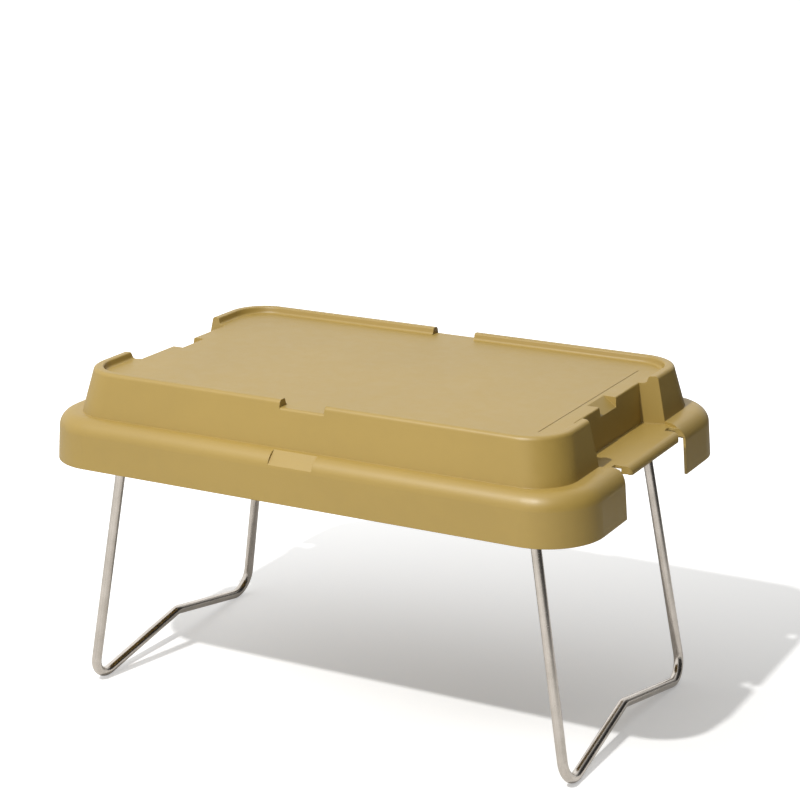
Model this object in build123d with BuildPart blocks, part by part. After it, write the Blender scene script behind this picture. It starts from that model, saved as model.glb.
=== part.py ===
# Folding side table: the lid of a storage crate on two folding wire legs.
# Millimetres. X runs along the table, Y across it, Z up from the floor.
# The origin is on the floor under the middle of the lid, with the legs standing.
from build123d import *
from math import atan, cos, degrees, hypot, radians, sin, tan
import os

os.makedirs("parts", exist_ok=True)

# ---- the table as a whole ----
table_height = 324.0            # floor to the top of the rim
lid_length = 560.0              # along X, at the skirt's lower edge
lid_width = 350.0               # along Y, at the skirt's lower edge

# ---- lid shell ----
wall = 2.5                      # thickness of skirt, ledge, plateau and deck
skirt_height = 46.0             # lower edge of the skirt to the ledge
skirt_lean = 3.4                # how far the skirt leans in over its height
skirt_corner = 55.0             # plan radius of the skirt at its lower edge
ledge_round = 15.5              # rounding between skirt and ledge
plateau_height = 41.5           # ledge to the top of the rim
plateau_lean = 9.0              # how far the plateau walls lean in over their height
plateau_end_inset = 25.5        # plateau base behind the skirt's lower edge, at the short ends
plateau_side_inset = 18.0       # the same along the long sides
plateau_corner = 40.0           # radius of the plateau's corners, the same at every height
rim_height = 6.5                # rim above the table surface
rim_width = 8.0                 # rim measured across its top
rim_slope = 2.0                 # how far the rim's inner face runs in at its foot
rim_round = 4.0                 # outer rounding of the rim
rim_inner_round = 2.0
rim_foot_round = 3.0            # hollow rounding between rim and table surface
rim_gap = 46.0                  # break in the rim at the middle of each long side
gap_edge_round = 3.0            # rounding of the surface's edge in that break
edge_patch = 45.0               # flat patch in the ledge rounding, mid long side
edge_patch_depth = 1.4          # how deep that patch lies under the rounding
score_inset = 67.5              # line across the table surface, from the lid's end
score_half_length = 110.0
score_width = 0.7
score_depth = 0.4

# ---- handle recess and grip tongue at each short end ----
recess_depth = 47.0             # back wall of the recess at its foot, from the lid's end
recess_back_half = 69.0         # half width of the recess at its back wall
recess_mouth_half = 75.0        # half width where it leaves the plateau
recess_lean = 4.0               # how far its walls open towards the top
floor_drop = 2.5                # recess floor below the ledge
skirt_cut_half = 70.0           # half width of the cut in the skirt
recess_edge_round = 1.6         # rounding along the top of its back wall
tongue_half = 55.0              # half width of the tongue at its outer edge
tongue_root_half = 57.5         # half width of the tongue at its root
tongue_length = 12.0            # root of the tongue to the lid's end
tongue_corner = 5.0             # plan radius of the tongue's outer corners
tongue_lip = 8.0                # tongue surface down to the lower edge of its front lip
tongue_round = 6.8              # rounding from its surface to that lip
slit_lip = 7.4                  # the same for the lips along both edges of a slit
slit_root = 9.5                 # width of a slit at its root
slit_margin = 2.0               # strip at floor level along the outer edge of a slit
root_hole = 6.5                 # hole at the root of each slit
root_hole_round = 2.0
root_hole_bite = 1.0            # how far the hole reaches into the tongue
notch_half = 17.5               # half width of the notch in the recess's upper edge
notch_flare = 1.0               # extra half width of the notch at its top
notch_depth = 8.5
notch_length = 12.0

# ---- ribs under the deck ----
rib = 2.0                       # rib thickness
rib_pitch = 51.2                # cross ribs along X
cross_ribs = 8
rail_half = 110.0               # rails on each side of the rib grid
rib_rows = 5                    # cells between the rails
rib_drop = 26.5                 # ribs below the underside of the deck
ring_drop = 4.5                 # ring under the ledge, below the ledge's underside
ring_face = 144.5               # inner face of the ring along the long sides
ring_slit = 2.0                 # relief slits in the ring, in line with the cross ribs
ring_slit_depth = 3.0
pad_inset = 3.5                 # flat pads under the recess floor, from its back wall
pad_length = 15.0
pad_width = 27.0
pad_pitch = 44.0
pad_drop = 3.0
grip_ribs = 9                   # small ribs under the tongue
grip_pitch = 12.0
grip_rib = 1.6
grip_drop = 3.2

# ---- wire legs ----
wire = 9.5                      # wire diameter
pivot_x = 208.7                 # hinge axis from the middle of the table
pivot_below_ledge = 3.5         # hinge axis below the ledge
splay = 9.6                     # degrees outwards from upright when the leg stands
side_flare = 2.95               # degrees by which the two sides of a leg spread
foot_rise = 11.8                # degrees by which the foot bar rises to its middle
leg_half_width = 122.4          # side wire from the middle, at the hinge
pin_bend = 9.0                  # bend radii of the wire's centre line
foot_bend = 21.0
kink_bend = 14.0
pin_end = 147.0                 # outer end of the hinge pins, from the middle
pin_chamfer = 0.6
right_fold = 104.0              # degrees from standing to folded; the other leg stops at level

# ---- hinge bearings ----
pin_clearance = 0.06            # radial, pin in its bearing
wire_clearance = 0.8            # wire to the mouldings that it lies in
bearing_length = 44.0           # along X
bearing_inner = 133.0           # inner face of the bearing, from the middle
bearing_width = 15.0
bearing_height = 13.0           # moulded half, above the axis
cap_thickness = 8.0             # screwed half, below the axis
cap_corner = 3.0
cap_chamfer = 1.0
screw_spacing = 30.0
screw_shank = 3.5
screw_length = 16.0
screw_head = 7.0
screw_head_height = 2.4
screw_cross = 4.0               # cross recess in the head
screw_hole_clearance = 0.25
pin_end_gap = 1.0               # beyond the end of the hinge pin
thread_clearance = 0.02         # screw in the moulded half
screw_tip_gap = 1.0
stop_outer = 130.0              # outer edge of the plate that a standing leg leans on
stop_thickness = 3.0
stop_depth = 17.0               # below the axis
stop_gap = 0.15
gusset = 2.5

# ---- saddles that take the foot bar of a folded leg ----
saddle_length = 22.0
saddle_width = 8.0
saddle_drop = 2.0               # below the ribs

# ---- levels ----
ledge_z = table_height - plateau_height
skirt_z = ledge_z - skirt_height
surface_z = table_height - rim_height
deck_z = surface_z - wall                   # underside of the deck
under_ledge_z = ledge_z - wall
floor_z = ledge_z - floor_drop              # recess floor and tongue
rib_z = deck_z - rib_drop
pivot_z = ledge_z - pivot_below_ledge
skirt_taper = degrees(atan(skirt_lean / skirt_height))
plateau_taper = degrees(atan(plateau_lean / plateau_height))
recess_taper = degrees(atan(recess_lean / (surface_z - floor_z)))
end_x = lid_length / 2
side_y = lid_width / 2
plateau_x = end_x - plateau_end_inset
plateau_y = side_y - plateau_side_inset


def rounded_block(length, width, radius, z, height, taper=0, mode=Mode.ADD):
    """Rounded rectangle raised from z, leaning in by taper."""
    with BuildSketch(Plane.XY.offset(z)) as plan:
        RectangleRounded(length, width, radius)
    extrude(plan.sketch, amount=height, taper=taper, mode=mode)


def plateau_block(inset, low_z, high_z):
    """Plateau drawn in by inset, from low_z to high_z, with even corners."""
    spread = (ledge_z - low_z) * plateau_lean / plateau_height - inset
    with BuildPart() as block:
        with BuildSketch(Plane.XY.offset(low_z)) as plan:
            Rectangle(2 * (plateau_x + spread), 2 * (plateau_y + spread))
        extrude(plan.sketch, amount=high_z - low_z, taper=plateau_taper)
        fillet(block.edges().filter_by(lambda e: e.bounding_box().size.Z > wall), plateau_corner - inset)
    return block.part


def outline_block(points, plane, height, taper=0, both=False, mode=Mode.ADD):
    """Block on an outline drawn on plane."""
    with BuildSketch(plane) as profile:
        with BuildLine():
            Polyline(*points, close=True)
        make_face()
    extrude(profile.sketch, amount=height, taper=taper, both=both, mode=mode)


def mirrored(plan, end=1):
    """Outline that is plan and its mirror image in Y, on the chosen end of the table."""
    return [(end * x, y) for x, y in plan] + [(end * x, -y) for x, y in reversed(plan)]


# ---- a leg in its own plane: across the table and down the leg ----
foot_drop = (pivot_z - wire / 2) / cos(radians(splay))      # axis to the lowest centre line
bend_overshoot = foot_bend * ((cos(radians(side_flare)) + sin(radians(foot_rise)))
                              / cos(radians(side_flare + foot_rise)) - 1)
foot_v = foot_drop + bend_overshoot                         # axis to the foot's sharp corner
foot_u = leg_half_width + foot_v * tan(radians(side_flare))
kink_v = foot_v - foot_u * tan(radians(foot_rise))
deep_fold = right_fold - 90 - splay                         # degrees past level
bar_z = pivot_z + foot_v * sin(radians(deep_fold))          # foot bar of the deeper leg


def bar_x(y):
    """Middle of a folded foot bar from the table's middle, at distance y from its kink."""
    return pivot_x - (kink_v + y * tan(radians(foot_rise))) * cos(radians(deep_fold))


# ---- scoop in the upper edge of a recess, and the same grown by the wall behind it ----
back_x = end_x - recess_depth
root_x = end_x - tongue_length
hole_x = root_x - root_hole
front_x = end_x - 0.7 * skirt_lean           # just clear of the tongue's front lip
past_end = end_x + ledge_round
past_top = table_height + wall
recess_height = past_top - floor_z


def scoop(grown):
    slope = notch_depth / notch_length
    inner_x = back_x - recess_lean - notch_length - grown * hypot(1, slope) / slope
    low_z = surface_z - 2 * notch_depth
    low_half = notch_half - notch_flare + grown
    high_half = notch_half + notch_flare * (1 + wall / notch_depth) + grown
    with BuildPart() as cut:
        outline_block([(inner_x, surface_z), (back_x + wall, surface_z - (back_x + wall - inner_x) * slope),
                       (back_x + wall, past_top), (inner_x, past_top)],
                      Plane.XZ, recess_back_half, both=True)
        outline_block([(-low_half, low_z), (low_half, low_z), (high_half, surface_z + wall),
                       (high_half, past_top), (-high_half, past_top), (-high_half, surface_z + wall)],
                      Plane.YZ, end_x, mode=Mode.INTERSECT)
    return cut.part


scoop_cut = scoop(0)
scoop_backing = scoop(wall)

# ---- slits beside the tongues ----
slit_outer = tongue_root_half + slit_root
hole_inner = tongue_root_half - root_hole_bite
slit_plan = [(hole_x, hole_inner), (hole_x, slit_outer), (root_x, slit_outer), (front_x, skirt_cut_half),
             (past_end, skirt_cut_half), (past_end, 0), (front_x, 0), (front_x, tongue_half),
             (root_x, tongue_root_half), (root_x, hole_inner)]


def slits(end):
    """Plan of the two slits beside a tongue, joined in front of it."""
    with BuildSketch(Plane.XY.offset(skirt_z)) as plan:
        for side in (1, -1):
            with BuildLine():
                Polyline(*[(end * x, side * y) for x, y in slit_plan], close=True)
            make_face()
        inner = plan.vertices().sort_by(lambda v: abs(v.X))
        fillet(inner[:4], root_hole_round)
        front = plan.vertices().filter_by(lambda v: abs(abs(v.X) - front_x) < 0.01
                                          and abs(abs(v.Y) - tongue_half) < 0.01)
        fillet(front, tongue_corner)
    return plan.sketch


# ---- front part of a tongue ----
nose_z = floor_z - tongue_round
nose_x = end_x - (nose_z - skirt_z) * tan(radians(skirt_taper)) - tongue_round / cos(radians(skirt_taper))


def tongue_front(inset, half_width):
    """Front of a tongue with its rounded edge, drawn in by inset."""
    low_z = floor_z - tongue_lip
    with BuildPart() as front:
        with BuildSketch(Plane.XZ) as profile:
            with BuildLine():
                arc = CenterArc((nose_x, nose_z), tongue_round - inset, skirt_taper, 90 - skirt_taper)
                low_x = (arc @ 0).X + ((arc @ 0).Y - low_z) * tan(radians(skirt_taper))
                Polyline(arc @ 1, (root_x, floor_z - inset), (root_x, low_z), (low_x, low_z), arc @ 0)
            make_face()
        extrude(profile.sketch, amount=half_width, both=True)
    return front.part


tongue_solid = tongue_front(0, tongue_root_half)
tongue_hollow = tongue_front(wall, tongue_half - wall)

# ---- outer body of the lid, with its recesses but without its hollow ----
mouth = [(back_x, recess_back_half), (plateau_x, recess_mouth_half)]
corner_y = side_y - skirt_lean
facet = (ledge_round * (2 ** 0.5 - 1) + edge_patch_depth) * 2 ** 0.5

with BuildPart() as body:
    rounded_block(lid_length, lid_width, skirt_corner, skirt_z, skirt_height, skirt_taper)
    fillet(body.faces().sort_by(Axis.Z)[-1].edges(), ledge_round)
    add(plateau_block(0, ledge_z - wall, table_height))
    fillet(body.faces().sort_by(Axis.Z)[-1].edges(), rim_round)
    # table surface inside the rim, and the breaks in the rim
    inner_lean = plateau_lean + rim_width + rim_slope
    rounded_block(2 * (plateau_x - inner_lean), 2 * (plateau_y - inner_lean),
                  plateau_corner - rim_width - rim_slope, surface_z, rim_height,
                  -degrees(atan(rim_slope / rim_height)), Mode.SUBTRACT)
    rim_top = body.faces().sort_by(Axis.Z)[-1]
    fillet(rim_top.inner_wires()[0].edges(), rim_inner_round)
    fillet(body.edges().filter_by_position(Axis.Z, surface_z - 0.01, surface_z + 0.01), rim_foot_round)
    with Locations((0, 0, surface_z)):
        Box(rim_gap, lid_width, rim_height, align=(Align.CENTER, Align.CENTER, Align.MIN),
            mode=Mode.SUBTRACT)
    gap_edges = body.edges().filter_by_position(Axis.Z, surface_z - 0.01, surface_z + 0.01)
    fillet(gap_edges.filter_by(lambda e: abs(e.center().X) < 0.1
                               and abs(e.center().Y) > plateau_y - inner_lean + wall), gap_edge_round)
    # flat patches in the rounding of the ledge
    for side in (1, -1):
        outline_block([(side * (corner_y - facet - wall), ledge_z + wall),
                       (side * (corner_y + wall), ledge_z - facet - wall),
                       (side * (corner_y + wall), ledge_z + wall)],
                      Plane.YZ, edge_patch / 2, both=True, mode=Mode.SUBTRACT)
    # line across the surface
    with Locations((end_x - score_inset, 0, surface_z)):
        Box(score_width, 2 * score_half_length, score_depth,
            align=(Align.CENTER, Align.CENTER, Align.MAX), mode=Mode.SUBTRACT)
    # handle recesses, slits beside the tongues and cuts in the skirt
    add(tongue_solid)
    add(tongue_solid.mirror(Plane.YZ))
    for end in (1, -1):
        floor_plan = mouth + [(root_x, slit_outer + slit_margin), (past_end, slit_outer + slit_margin)]
        outline_block(mirrored(floor_plan, end), Plane.XY.offset(floor_z), recess_height,
                      -recess_taper, mode=Mode.SUBTRACT)
        extrude(slits(end), amount=skirt_height, mode=Mode.SUBTRACT)
        with Locations((end * past_end, 0, ledge_z)):
            Box(2 * (past_end - plateau_x), 2 * recess_mouth_half, plateau_height,
                align=(Align.CENTER, Align.CENTER, Align.MIN), mode=Mode.SUBTRACT)
        with Locations((end * past_end, 0, skirt_z)):
            Box(2 * (past_end - root_x + root_hole), 2 * skirt_cut_half,
                floor_z - tongue_lip - skirt_z,
                align=(Align.CENTER, Align.CENTER, Align.MIN), mode=Mode.SUBTRACT)
    for end in (1, -1):
        back_edges = body.edges().filter_by_position(Axis.Z, surface_z - 0.01, surface_z + 0.01)
        fillet(back_edges.filter_by(lambda e: abs(end * e.center().X - back_x + recess_lean) < 0.1),
               recess_edge_round)
    add(scoop_cut, mode=Mode.SUBTRACT)
    add(scoop_cut.mirror(Plane.YZ), mode=Mode.SUBTRACT)

# ---- hollow of the lid ----
with BuildPart() as hollow:
    rounded_block(lid_length - 2 * wall, lid_width - 2 * wall, skirt_corner - wall, skirt_z,
                  skirt_height - wall, skirt_taper)
    fillet(hollow.faces().sort_by(Axis.Z)[-1].edges(), ledge_round - wall)
    add(plateau_block(wall, under_ledge_z, deck_z))
    for end in (1, -1):
        plan = [(back_x - wall, recess_back_half + wall), (plateau_x, recess_mouth_half + wall),
                (past_end, recess_mouth_half + wall)]
        outline_block(mirrored(plan, end), Plane.XY.offset(floor_z - wall), recess_height,
                      -recess_taper, mode=Mode.SUBTRACT)
    add(scoop_backing, mode=Mode.SUBTRACT)
    add(scoop_backing.mirror(Plane.YZ), mode=Mode.SUBTRACT)
    add(tongue_hollow)
    add(tongue_hollow.mirror(Plane.YZ))

# ---- ring under the ledge, thickened along the long sides and slit there ----
rib_xs = [(i - (cross_ribs - 1) / 2) * rib_pitch for i in range(cross_ribs)]
rib_ys = [(j - rib_rows / 2) * 2 * rail_half / rib_rows for j in range(1, rib_rows)]
ring_z = under_ledge_z - ring_drop
ring_x = plateau_x - 2 * ring_drop
ring_corner = plateau_corner - ring_drop
bearing_y = bearing_inner + bearing_width / 2
on_top = (Align.CENTER, Align.CENTER, Align.MIN)
hung = (Align.CENTER, Align.CENTER, Align.MAX)
corners = [(end, side) for end in (1, -1) for side in (1, -1)]

with BuildPart() as ring:
    rounded_block(2 * (plateau_x + wall), 2 * (plateau_y + wall), plateau_corner + wall, ring_z,
                  ring_drop + wall)
    rounded_block(2 * ring_x, 2 * ring_face, ring_corner, ring_z, ring_drop + wall,
                  mode=Mode.SUBTRACT)
    fillet(ring.faces().sort_by(Axis.Z)[0].edges(), ring_drop / 3)
    liner_length = 2 * rib_xs[-1] + rib_pitch / 4
    liner_width = plateau_y - ring_face
    for side in (1, -1):
        with Locations((0, side * (ring_face + liner_width / 2), under_ledge_z - ring_drop / 2)):
            Box(liner_length, liner_width, deck_z - under_ledge_z + ring_drop / 2, align=on_top)
        with Locations(*[(x, side * ring_face, ring_z) for x in rib_xs]):
            Box(ring_slit, 2 * ring_slit_depth, deck_z - ring_z - ring_drop,
                align=on_top, mode=Mode.SUBTRACT)
        with Locations(*[(x, side * (ring_face + liner_width / 2), ring_z) for x in rib_xs]):
            Box(ring_slit, 2 * liner_width, ring_drop, align=on_top, mode=Mode.SUBTRACT)
    # the ring stops at the recesses and leaves room for the bearing caps
    Box(2 * past_end, 2 * (recess_mouth_half + wall), 2 * table_height, mode=Mode.SUBTRACT)
    with Locations(*[(end * pivot_x, side * bearing_y, ring_z) for end, side in corners]):
        Box(bearing_length + 2 * wire_clearance, bearing_width + 2 * wire_clearance,
            pivot_z - ring_z, align=on_top, mode=Mode.SUBTRACT)

# ---- ribs, bearings and stops, before they are trimmed to the lid's outer form ----
slack = wire / 2 + wire_clearance
bar_slack = slack / cos(radians(foot_rise))
rail_x = pivot_x + bearing_length / 2 + gusset
into_deck = deck_z + wall / 2
outer_wall_y = plateau_y + wall
bore = wire / 2 + pin_clearance
gusset_reach = (bearing_length - gusset) / 2
gusset_z = pivot_z + slack + bearing_length / 2 * tan(radians(deep_fold))
strip_x = back_x + pad_inset + pad_length + grip_rib
floor_under = floor_z - wall
cap_z = pivot_z - cap_thickness
screw_places = [(end * (pivot_x + offset), side * bearing_y)
                for end, side in corners for offset in (-screw_spacing / 2, screw_spacing / 2)]


def stop_face(z):
    """Face of the stop at height z, leaning with the side wire of a standing leg."""
    offset = (wire / 2 + stop_gap) / cos(radians(splay))
    return pivot_x + offset + (pivot_z - z) * tan(radians(splay))


with BuildPart() as stiffeners:
    with Locations(*[(x, 0, rib_z) for x in rib_xs]):
        Box(rib, 2 * rail_half, into_deck - rib_z, align=on_top)
    with Locations(*[(0, y, rib_z) for y in rib_ys]):
        Box(2 * plateau_x, rib, into_deck - rib_z, align=on_top)
    with Locations(*[(0, side * rail_half, rib_z) for side in (1, -1)]):
        Box(2 * rail_x, rib, into_deck - rib_z, align=on_top)
    # short ribs beside the recesses
    corner_rib_width = rail_half - recess_mouth_half
    with Locations(*[(end * (rib_xs[-1] + step * rib_pitch), side * (rail_half - corner_rib_width / 2),
                      rib_z) for end, side in corners for step in (0.5, 1)]):
        Box(rib, corner_rib_width, into_deck - rib_z, align=on_top)
    # saddles, and the way of the foot bars through saddles, ribs and rails
    with Locations(*[(end * bar_x(abs(y)), y, rib_z - saddle_drop) for end in (1, -1) for y in rib_ys]):
        Box(saddle_length, saddle_width, into_deck - rib_z + saddle_drop, align=on_top)
    for end, side in corners:
        bar_plan = [(bar_x(0) - bar_slack, 0), (bar_x(ring_face) - bar_slack, ring_face),
                    (bar_x(ring_face) + bar_slack, ring_face), (bar_x(0) + bar_slack, 0)]
        outline_block([(end * x, side * y) for x, y in bar_plan], Plane.XY.offset(ring_z),
                      bar_z + slack - ring_z, mode=Mode.SUBTRACT)
    # low cross ribs in the channels, clear of the folded side wires
    channel_z = bar_z + slack
    channel_y = (rail_half + ring_face) / 2
    with Locations(*[(x, side * channel_y, channel_z) for x in rib_xs for side in (1, -1)]):
        Box(rib, ring_face - rail_half + wall, into_deck - channel_z, align=on_top)
    # upper half of each bearing, under two gussets
    for end, side in corners:
        with Locations((end * pivot_x, side * (bearing_inner + outer_wall_y) / 2, pivot_z)):
            Box(bearing_length, outer_wall_y - bearing_inner, bearing_height, align=on_top)
        with Locations(*[(end * (pivot_x + reach), side * (rail_half + outer_wall_y) / 2, gusset_z)
                         for reach in (-gusset_reach, gusset_reach)]):
            Box(gusset, outer_wall_y - rail_half, into_deck - gusset_z, align=on_top)
    # stops that the standing legs lean on, each with a rib to the plateau's end wall
    stop_z = pivot_z - stop_depth
    stop_half = (stop_outer - rail_half) / 2
    stop_outline = [(stop_face(stop_z), stop_z), (stop_face(into_deck), into_deck),
                    (stop_face(into_deck) + stop_thickness, into_deck),
                    (stop_face(stop_z) + stop_thickness, stop_z)]
    brace_z = stop_z + stop_thickness
    brace_outline = [(stop_face(brace_z) + wall / 2, brace_z), (stop_face(into_deck) + wall / 2, into_deck),
                     (plateau_x, into_deck), (plateau_x, ring_z), (ring_x, ring_z)]
    for end, side in corners:
        outline_block([(end * x, z) for x, z in stop_outline],
                      Plane.XZ.offset(-side * (rail_half + stop_half)), stop_half, both=True)
        outline_block([(end * x, z) for x, z in brace_outline],
                      Plane.XZ.offset(-side * leg_half_width), rib / 2, both=True)
    # lips along both edges of the slits
    lip_plan = [(root_x, tongue_root_half - wall), (root_x, slit_outer + wall),
                (past_end, skirt_cut_half + wall), (past_end, tongue_half - wall)]
    for end, side in corners:
        outline_block([(end * x, side * y) for x, y in lip_plan],
                      Plane.XY.offset(floor_z - slit_lip), slit_lip - wall / 2)
    # pads under the recess floor, pockets and grip ribs under the tongue
    with Locations(*[(end * (back_x + pad_inset + pad_length / 2), j * pad_pitch, floor_under)
                     for end in (1, -1) for j in (-1, 0, 1)]):
        Box(pad_length, pad_width, pad_drop, align=hung)
    grip_ys = [(j - (grip_ribs - 1) / 2) * grip_pitch for j in range(grip_ribs)]
    with Locations(*[(end * (strip_x + end_x - wall) / 2, y, floor_under)
                     for end in (1, -1) for y in grip_ys]):
        Box(end_x - wall - strip_x, grip_rib, grip_drop, align=hung)
    with Locations(*[(end * x, 0, floor_under) for end in (1, -1) for x in (strip_x, root_x)]):
        Box(grip_rib, 2 * grip_ys[-1] + grip_rib, grip_drop, align=hung)
    add(ring.part)
    add(body.part, mode=Mode.INTERSECT)

# ---- lid: the shell with its stiffeners, bored for the hinge pins and the screws ----
with BuildPart() as lid:
    add(body.part)
    add(hollow.part, mode=Mode.SUBTRACT)
    add(stiffeners.part)
    for end, side in corners:
        with Locations(Location((end * pivot_x, side * bearing_y, pivot_z), (90, 0, 0))):
            Cylinder(bore, bearing_width + 2 * (pin_end_gap + wire_clearance) , mode=Mode.SUBTRACT)
    with Locations(*[(x, y, pivot_z) for x, y in screw_places]):
        Cylinder(screw_shank / 2 + thread_clearance, screw_length - cap_thickness + screw_tip_gap,
                 align=on_top, mode=Mode.SUBTRACT)
lid.part.label = "lid"
export_step(lid.part, "parts/lid.step")

# ---- bearing caps, one under each hinge pin ----
corner_names = {(1, 1): "right_rear", (1, -1): "right_front", (-1, 1): "left_rear", (-1, -1): "left_front"}

for (end, side), where in corner_names.items():
    with BuildPart() as cap:
        with BuildSketch(Plane.XY.offset(cap_z)):
            with Locations((end * pivot_x, side * bearing_y)):
                RectangleRounded(bearing_length, bearing_width, cap_corner)
        extrude(amount=cap_thickness)
        chamfer(cap.faces().sort_by(Axis.Z)[0].edges(), cap_chamfer)
        with Locations(Location((end * pivot_x, side * bearing_y, pivot_z), (90, 0, 0))):
            Cylinder(bore, 2 * bearing_width, mode=Mode.SUBTRACT)
        with Locations(*[(end * pivot_x + offset, side * bearing_y, cap_z)
                         for offset in (-screw_spacing / 2, screw_spacing / 2)]):
            Cylinder(screw_shank / 2 + screw_hole_clearance, cap_thickness, align=on_top,
                     mode=Mode.SUBTRACT)
    cap.part.label = f"bearing_cap_{where}"
    export_step(cap.part, f"parts/bearing_cap_{where}.step")

# ---- pan head screws, two in each cap ----
for (end, side), where in corner_names.items():
    with BuildPart() as screws:
        for offset in (-screw_spacing / 2, screw_spacing / 2):
            head_place = (end * pivot_x + offset, side * bearing_y, cap_z)
            with Locations(head_place):
                Cylinder(screw_head / 2, screw_head_height, align=hung)
                Cylinder(screw_shank / 2, screw_length, align=on_top)
            rim_edges = screws.edges().filter_by(GeomType.CIRCLE).filter_by_position(
                Axis.Z, cap_z - screw_head_height - 0.01, cap_z - screw_head_height + 0.01)
            fillet(rim_edges.filter_by_position(Axis.X, head_place[0] - screw_head,
                                                head_place[0] + screw_head), screw_head_height / 2)
            with Locations((head_place[0], head_place[1], cap_z - screw_head_height)):
                Box(screw_cross, screw_cross / 4, screw_head_height, mode=Mode.SUBTRACT)
                Box(screw_cross / 4, screw_cross, screw_head_height, mode=Mode.SUBTRACT)
            tip = screws.faces().filter_by(Axis.Z).filter_by_position(
                Axis.X, head_place[0] - screw_head, head_place[0] + screw_head).sort_by(Axis.Z)[-1]
            chamfer(tip.edges(), screw_shank / 4)
    screws.part.label = f"cap_screws_{where}"
    export_step(screws.part, f"parts/cap_screws_{where}.step")

# ---- wire legs, each one bent wire with a pin at both ends ----
for end, leg_name in ((1, "right_leg"), (-1, "left_leg")):
    down_leg = Vector(end * sin(radians(splay)), 0, -cos(radians(splay)))
    leg_plane = Plane(origin=(end * pivot_x, 0, pivot_z), x_dir=(0, 1, 0),
                      z_dir=Vector(0, 1, 0).cross(down_leg))
    corners_down = [(pin_end, 0), (leg_half_width, 0), (foot_u, foot_v), (0, kink_v)]
    wire_corners = corners_down + [(-u, v) for u, v in reversed(corners_down[:-1])]
    with BuildPart() as leg:
        with BuildLine(leg_plane) as path:
            FilletPolyline(*wire_corners, radius=[pin_bend, foot_bend, kink_bend, foot_bend, pin_bend])
        with BuildSketch(Plane(origin=path.wires()[0] @ 0, z_dir=path.wires()[0] % 0)):
            Circle(wire / 2)
        sweep()
        pin_faces = leg.faces().filter_by(GeomType.PLANE)
        chamfer(pin_faces.edges(), pin_chamfer)
    leg.part.label = leg_name
    export_step(leg.part, f"parts/{leg_name}.step")
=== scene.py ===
import math

import bpy
from mathutils import Matrix, Vector

# A folding side table: the lid of a storage crate on two folding wire legs.
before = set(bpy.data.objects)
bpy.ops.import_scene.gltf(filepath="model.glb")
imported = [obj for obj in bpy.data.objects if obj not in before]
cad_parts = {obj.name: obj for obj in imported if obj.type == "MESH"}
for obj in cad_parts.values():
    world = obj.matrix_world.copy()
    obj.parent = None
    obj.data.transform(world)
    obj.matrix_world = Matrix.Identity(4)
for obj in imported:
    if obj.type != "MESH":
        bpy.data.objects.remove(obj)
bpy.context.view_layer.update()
print("frame loaded with", len(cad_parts), "nodes")


# ---- shader helpers ----
class Socket:
    # an output of a node; sums and products of it add their own Math nodes
    def __init__(self, finish, link):
        self.finish = finish
        self.link = link

    def maths(self, operation, first, second):
        return self.finish.node("Math", {"operation": operation}, {0: first, 1: second})

    def __add__(self, other):
        return self.maths("ADD", self, other)

    def __sub__(self, other):
        return self.maths("SUBTRACT", self, other)

    def __rsub__(self, other):
        return self.maths("SUBTRACT", other, self)

    def __mul__(self, other):
        return self.maths("MULTIPLY", self, other)

    def __truediv__(self, other):
        return self.maths("DIVIDE", self, other)

    def __pow__(self, other):
        return self.maths("POWER", self, other)

    __radd__ = __add__
    __rmul__ = __mul__

    def between(self, low, high):
        # 0 below low, 1 above high and a soft step from one to the other
        return self.finish.node("MapRange", {"interpolation_type": "SMOOTHSTEP"},
                                {"Value": self, "From Min": low, "From Max": high})


class Finish:
    # the nodes of one material, or of the room, made one by one
    def __init__(self, owner):
        owner.use_nodes = True
        self.owner = owner
        self.tree = owner.node_tree
        self.tree.nodes.clear()

    def node(self, kind, settings=None, values=None, output=0):
        made = self.tree.nodes.new("ShaderNode" + kind)
        for name, value in (settings or {}).items():
            setattr(made, name, value)
        for name, value in (values or {}).items():
            if isinstance(value, Socket):
                self.tree.links.new(value.link, made.inputs[name])
            else:
                made.inputs[name].default_value = value
        return Socket(self, made.outputs[output] if made.outputs else None)

    def noise(self, place, scale, detail=2.0, roughness=0.5):
        return self.node("TexNoise", None, {"Vector": place, "Scale": scale, "Detail": detail,
                                            "Roughness": roughness})

    def stretched(self, place, scales, turn=(0, 0, 0)):
        return self.node("Mapping", None, {"Vector": place, "Scale": scales, "Rotation": turn})

    def blend(self, factor, first, second):
        return self.node("Mix", {"data_type": "RGBA"}, {0: factor, 6: first, 7: second}, 2)

    def finished(self, values):
        shader = self.node("BsdfPrincipled", None, values)
        self.node("OutputMaterial", None, {"Surface": shader})
        return self.owner


def tinted(colour, gain):
    return tuple(min(1.0, part * gain) for part in colour[:3]) + (1.0,)


# ---- moulded plastic ----
polypropylene = {"index": 1.49, "mirror": 0.68}
plastics = {
    "lid": {"colour": (0.352, 0.237, 0.054), "shade": 0.975, "edgeWearAndHighlightLift": 1.16, "roughness": 0.46,
            "roughnessSpread": 0.07, "grain": 2600, "grainDepth": 0.00004, "edge": 0.0007,
            "scuffs": 0.10},
    "cap": {"colour": (0.340, 0.229, 0.054), "shade": 0.975, "edgeWearAndHighlightLift": 1.14, "roughness": 0.46,
            "roughnessSpread": 0.06, "grain": 3400, "grainDepth": 0.00003, "edge": 0.0004,
            "scuffs": 0.06},
}


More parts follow.
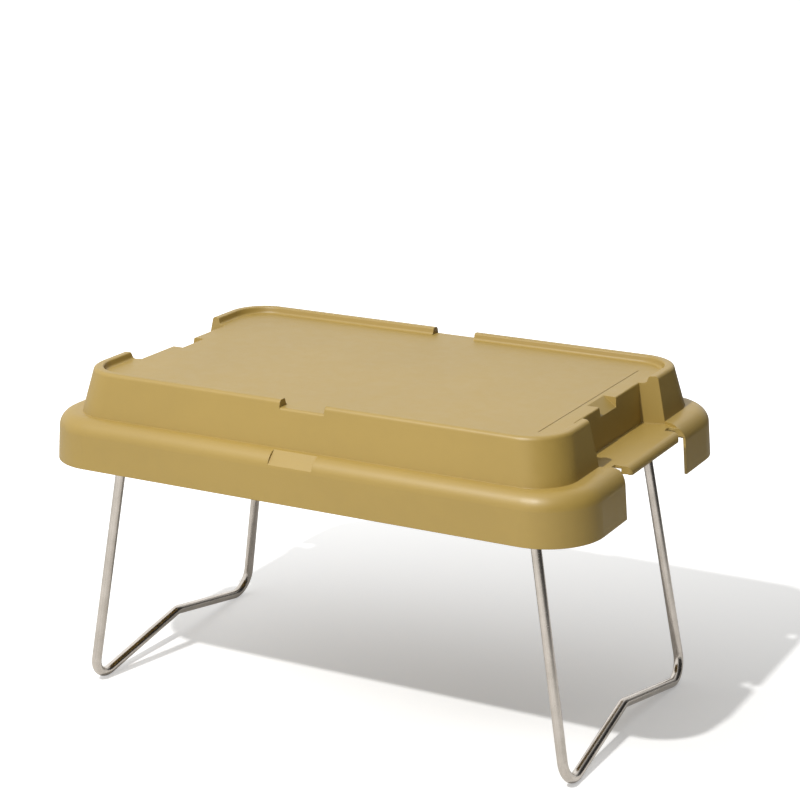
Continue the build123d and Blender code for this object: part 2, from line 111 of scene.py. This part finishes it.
def makePlastic(name, look):
    f = Finish(bpy.data.materials.new(name))
    place = f.node("TexCoord", output=3)
    drift = f.noise(place, 7, 3)
    mottle = f.noise(place, 90, 3, 0.6)
    grain = f.noise(place, look["grain"], 2, 0.6)
    pebble = f.noise(place, look["grain"] / 4, 1)
    # fine rubbing marks in two directions
    marksAlong = f.noise(f.stretched(place, (18, 900, 900), (0, 0, 0.35)), 1, 2).between(0.66, 0.74)
    marksAcross = f.noise(f.stretched(place, (900, 24, 900), (0, 0, -0.2)), 1, 2).between(0.67, 0.75)
    marks = (marksAlong + marksAcross) * f.noise(place, 14, 2).between(0.45, 0.7)
    # softened moulded edges, painted a little paler along them: partly wear where hands rub them, partly
    # a painted edge highlight
    softNormal = f.node("Bevel", {"samples": 6}, {"Radius": look["edge"]})
    sharpNormal = f.node("NewGeometry", output=1)
    along = f.node("VectorMath", {"operation": "DOT_PRODUCT"}, {0: softNormal, 1: sharpNormal}, 1)
    paleEdgeWearAndHighlight = (1 - along).between(0.0, 0.22) * (0.55 + mottle * 0.6)
    tone = drift * 0.7 + mottle * 0.3
    body = f.blend(tone.between(0.36, 0.64), tinted(look["colour"], look["shade"]),
                   tinted(look["colour"], 2 - look["shade"]))
    # paler colour along the edges: wear, and a painted edge highlight
    colour = f.blend(paleEdgeWearAndHighlight * 0.55, body, tinted(look["colour"], look["edgeWearAndHighlightLift"]))
    roughness = look["roughness"] + (mottle - 0.5) * look["roughnessSpread"] * 2 + marks * look["scuffs"]
    height = grain * 0.7 + pebble * 0.5 - marks * 0.35
    normal = f.node("Bump", None, {"Strength": 0.6, "Distance": look["grainDepth"], "Height": height,
                                   "Normal": softNormal})
    return f.finished({"Base Color": colour, "Roughness": roughness, "Normal": normal,
                       "IOR": polypropylene["index"], "Specular IOR Level": polypropylene["mirror"]})


# ---- drawn and bent stainless wire ----
wire = {"colour": (0.67, 0.615, 0.56), "dullAndPaintedShade": (0.46, 0.42, 0.37), "roughness": 0.20,
        "lineDepth": 0.00002, "lines": 38}


def makeWire(name, look):
    f = Finish(bpy.data.materials.new(name))
    place = f.node("TexCoord", output=3)
    facing = f.node("TexCoord", output=1)
    # the surface faces one way all along a drawn line, so lines come from that direction; the darker
    # colour laid by facing direction is partly drawn die lines and partly painted dark reflection on the
    # wire's sides
    lines = f.noise(facing, look["lines"], 3, 0.7)
    bands = f.noise(facing, 5, 1)
    cloud = f.noise(place, 35, 3, 0.6)
    nicks = f.noise(f.stretched(place, (260, 260, 900)), 1, 2).between(0.64, 0.74)
    dieLinesAndPaintedShade = (lines * 0.5 + bands * 0.2 + cloud * 0.4).between(0.38, 0.72)
    # darker colour by facing direction: die lines, and painted dark reflection
    colour = f.blend(dieLinesAndPaintedShade, tinted(look["colour"], 1), tinted(look["dullAndPaintedShade"], 1))
    roughness = look["roughness"] + lines * 0.12 + nicks * 0.12 + cloud * 0.06 - 0.06
    normal = f.node("Bump", None, {"Strength": 0.5, "Distance": look["lineDepth"],
                                   "Height": lines + nicks * 0.6})
    return f.finished({"Base Color": colour, "Roughness": roughness, "Normal": normal, "Metallic": 1.0})


# ---- zinc-plated screws ----
screw = {"colour": (0.62, 0.62, 0.60), "stain": (0.44, 0.42, 0.36), "roughness": 0.3, "edge": 0.00025}


def makeScrewSteel(name, look):
    f = Finish(bpy.data.materials.new(name))
    place = f.node("TexCoord", output=3)
    bloom = f.noise(place, 420, 3, 0.6)
    crystal = f.noise(place, 4200, 2)
    softNormal = f.node("Bevel", {"samples": 6}, {"Radius": look["edge"]})
    colour = f.blend(bloom.between(0.45, 0.7), tinted(look["colour"], 1), tinted(look["stain"], 1))
    roughness = look["roughness"] + bloom * 0.18 - 0.04
    normal = f.node("Bump", None, {"Strength": 0.4, "Distance": 0.00001, "Height": crystal,
                                   "Normal": softNormal})
    return f.finished({"Base Color": colour, "Roughness": roughness, "Normal": normal, "Metallic": 1.0})


finishes = {
    "lid": makePlastic("khaki moulded lid", plastics["lid"]),
    "bearing_cap": makePlastic("khaki moulded cap", plastics["cap"]),
    "cap_screws": makeScrewSteel("zinc-plated screw", screw),
    "right_leg": makeWire("bright bent wire", wire),
}
finishes["left_leg"] = finishes["right_leg"]

for nodeName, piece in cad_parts.items():
    family = next(start for start in finishes if nodeName.startswith(start))
    piece.data.materials.clear()
    piece.data.materials.append(finishes[family])
print("finishes on", len(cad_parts), "pieces")


# ---- pale floor that keeps the table's shadow and is seen as white beyond it ----
floorLook = {"half": 12.0, "colour": (0.74, 0.735, 0.72), "beyond": (0.045, 0.045, 0.045),
             "edge": (0.7, 1.1), "slant": (0.85, 0.45), "near": 0.33, "back": 0.54, "left": 0.4,
             "least": 0.27, "front": 0.1, "frontReach": 0.08, "reach": (0.6, 2.0), "mirrored": 0.12}


def makeFloor(look):
    half = look["half"]
    mesh = bpy.data.meshes.new("pale floor")
    mesh.from_pydata([(-half, -half, 0), (half, -half, 0), (half, half, 0), (-half, half, 0)], [],
                     [(0, 1, 2, 3)])
    floor = bpy.data.objects.new("pale_floor", mesh)
    bpy.context.scene.collection.objects.link(floor)
    f = Finish(bpy.data.materials.new("pale floor"))
    place = f.node("TexCoord", output=3)
    across, along = (f.node("SeparateXYZ", None, {"Vector": place}, output) for output in (0, 1))
    away = f.node("VectorMath", {"operation": "LENGTH"}, {0: place}, 1)
    # the glow the camera sees is painted light: low near the front right and rising towards the back and
    # left, so the table's shadow is painted paler away from the front right, with a little more just in
    # front; far off it reaches white
    sloping = f.node("Clamp", None, {"Value": look["near"] + along * look["back"] - across * look["left"],
                                     "Min": look["least"], "Max": 1.0})
    far = away.between(*look["reach"])
    seen = sloping + (1 - sloping) * far + (0 - along).between(0.0, look["frontReach"]) * look["front"]
    # to the right and behind, the floor colour is painted dark, as painted shade standing for the dim
    # room there
    paintedRoomShadeMask = (across * look["slant"][0] + along * look["slant"][1]).between(*look["edge"])
    colour = f.blend(paintedRoomShadeMask, look["colour"] + (1.0,), look["beyond"] + (1.0,))
    watched = f.node("LightPath", output="Is Camera Ray")
    mirrored = (f.node("LightPath", output="Is Glossy Ray")
                + f.node("LightPath", output="Is Transmission Ray")).between(0, 1)
    glow = seen * watched + (1 - paintedRoomShadeMask) * look["mirrored"] * mirrored
    # from under the sheet the camera looks through it
    below = f.node("NewGeometry", output="Backfacing") * watched
    return f.finished({"Base Color": colour, "Roughness": 1.0, "Specular IOR Level": 0.0,
                       "Emission Color": glow, "Emission Strength": 1.0, "Alpha": 1 - below}), floor


floorFinish, floor = makeFloor(floorLook)
floor.data.materials.append(floorFinish)

# ---- soft studio light: one small high lamp from the front left, and a room that dims to the right ----
lamp = {"place": (-0.235, -2.03, 2.86), "aim": (0.0, 0.0, 0.25), "size": 0.09, "power": 101.0}
room = {"overhead": 0.85, "left": 0.28, "right": 0.03, "mirroredLeft": 1.25, "mirroredRight": 0.03,
        "turn": (-0.5, 0.1)}


def lookingAt(place, target):
    return (Vector(target) - Vector(place)).to_track_quat("-Z", "Y")


lampData = bpy.data.lights.new("key lamp", "AREA")
lampData.shape = "DISK"
lampData.size = lamp["size"]
lampData.energy = lamp["power"]
lampObject = bpy.data.objects.new("key_lamp", lampData)
lampObject.location = lamp["place"]
lampObject.rotation_mode = "QUATERNION"
lampObject.rotation_quaternion = lookingAt(lamp["place"], lamp["aim"])
bpy.context.scene.collection.objects.link(lampObject)


def makeRoom(look):
    world = bpy.data.worlds.new("studio room")
    f = Finish(world)
    towards = f.node("TexCoord", output=0)
    across, height = (f.node("SeparateXYZ", None, {"Vector": towards}, output) for output in (0, 2))
    leftness = (0 - across).between(*look["turn"])
    above = height.between(0.45, 1.0)
    lit = look["right"] + leftness * (look["left"] - look["right"])
    fill = lit + (look["overhead"] - lit) * above
    mirroredFill = look["mirroredRight"] + leftness * (look["mirroredLeft"] - look["mirroredRight"])
    watched = f.node("LightPath", output="Is Camera Ray")
    mirrored = (f.node("LightPath", output="Is Glossy Ray")
                + f.node("LightPath", output="Is Transmission Ray")).between(0, 1)
    matt = (1 - watched) * (1 - mirrored)
    shade = watched + mirrored * mirroredFill + matt * fill
    sky = f.node("Background", None, {"Color": shade, "Strength": 1.0})
    f.node("OutputWorld", None, {"Surface": sky})
    bpy.context.scene.world = world


makeRoom(room)
print("light set")

# ---- camera ----
view = {"place": (0.9444, -1.6558, 0.8511), "azimuth": -26.706, "elevation": 17.269, "roll": 0.193,
        "lens": 94.29, "shiftX": -0.113, "shiftY": 0.0371}


def makeCamera(look):
    azimuth, elevation, roll = (math.radians(look[name]) for name in ("azimuth", "elevation", "roll"))
    ahead = Vector((math.sin(azimuth) * math.cos(elevation), math.cos(azimuth) * math.cos(elevation),
                    -math.sin(elevation)))
    level = Vector((math.cos(azimuth), -math.sin(azimuth), 0))
    up = level.cross(ahead)
    right = level * math.cos(roll) + up * math.sin(roll)
    top = up * math.cos(roll) - level * math.sin(roll)
    data = bpy.data.cameras.new("camera")
    data.sensor_width = 36.0
    data.lens = look["lens"]
    data.shift_x = look["shiftX"]
    data.shift_y = look["shiftY"]
    camera = bpy.data.objects.new("camera", data)
    turn = Matrix((right, top, -ahead)).transposed().to_4x4()
    camera.matrix_world = Matrix.Translation(look["place"]) @ turn
    bpy.context.scene.collection.objects.link(camera)
    bpy.context.scene.camera = camera


makeCamera(view)
bpy.context.scene.view_settings.view_transform = "Standard"
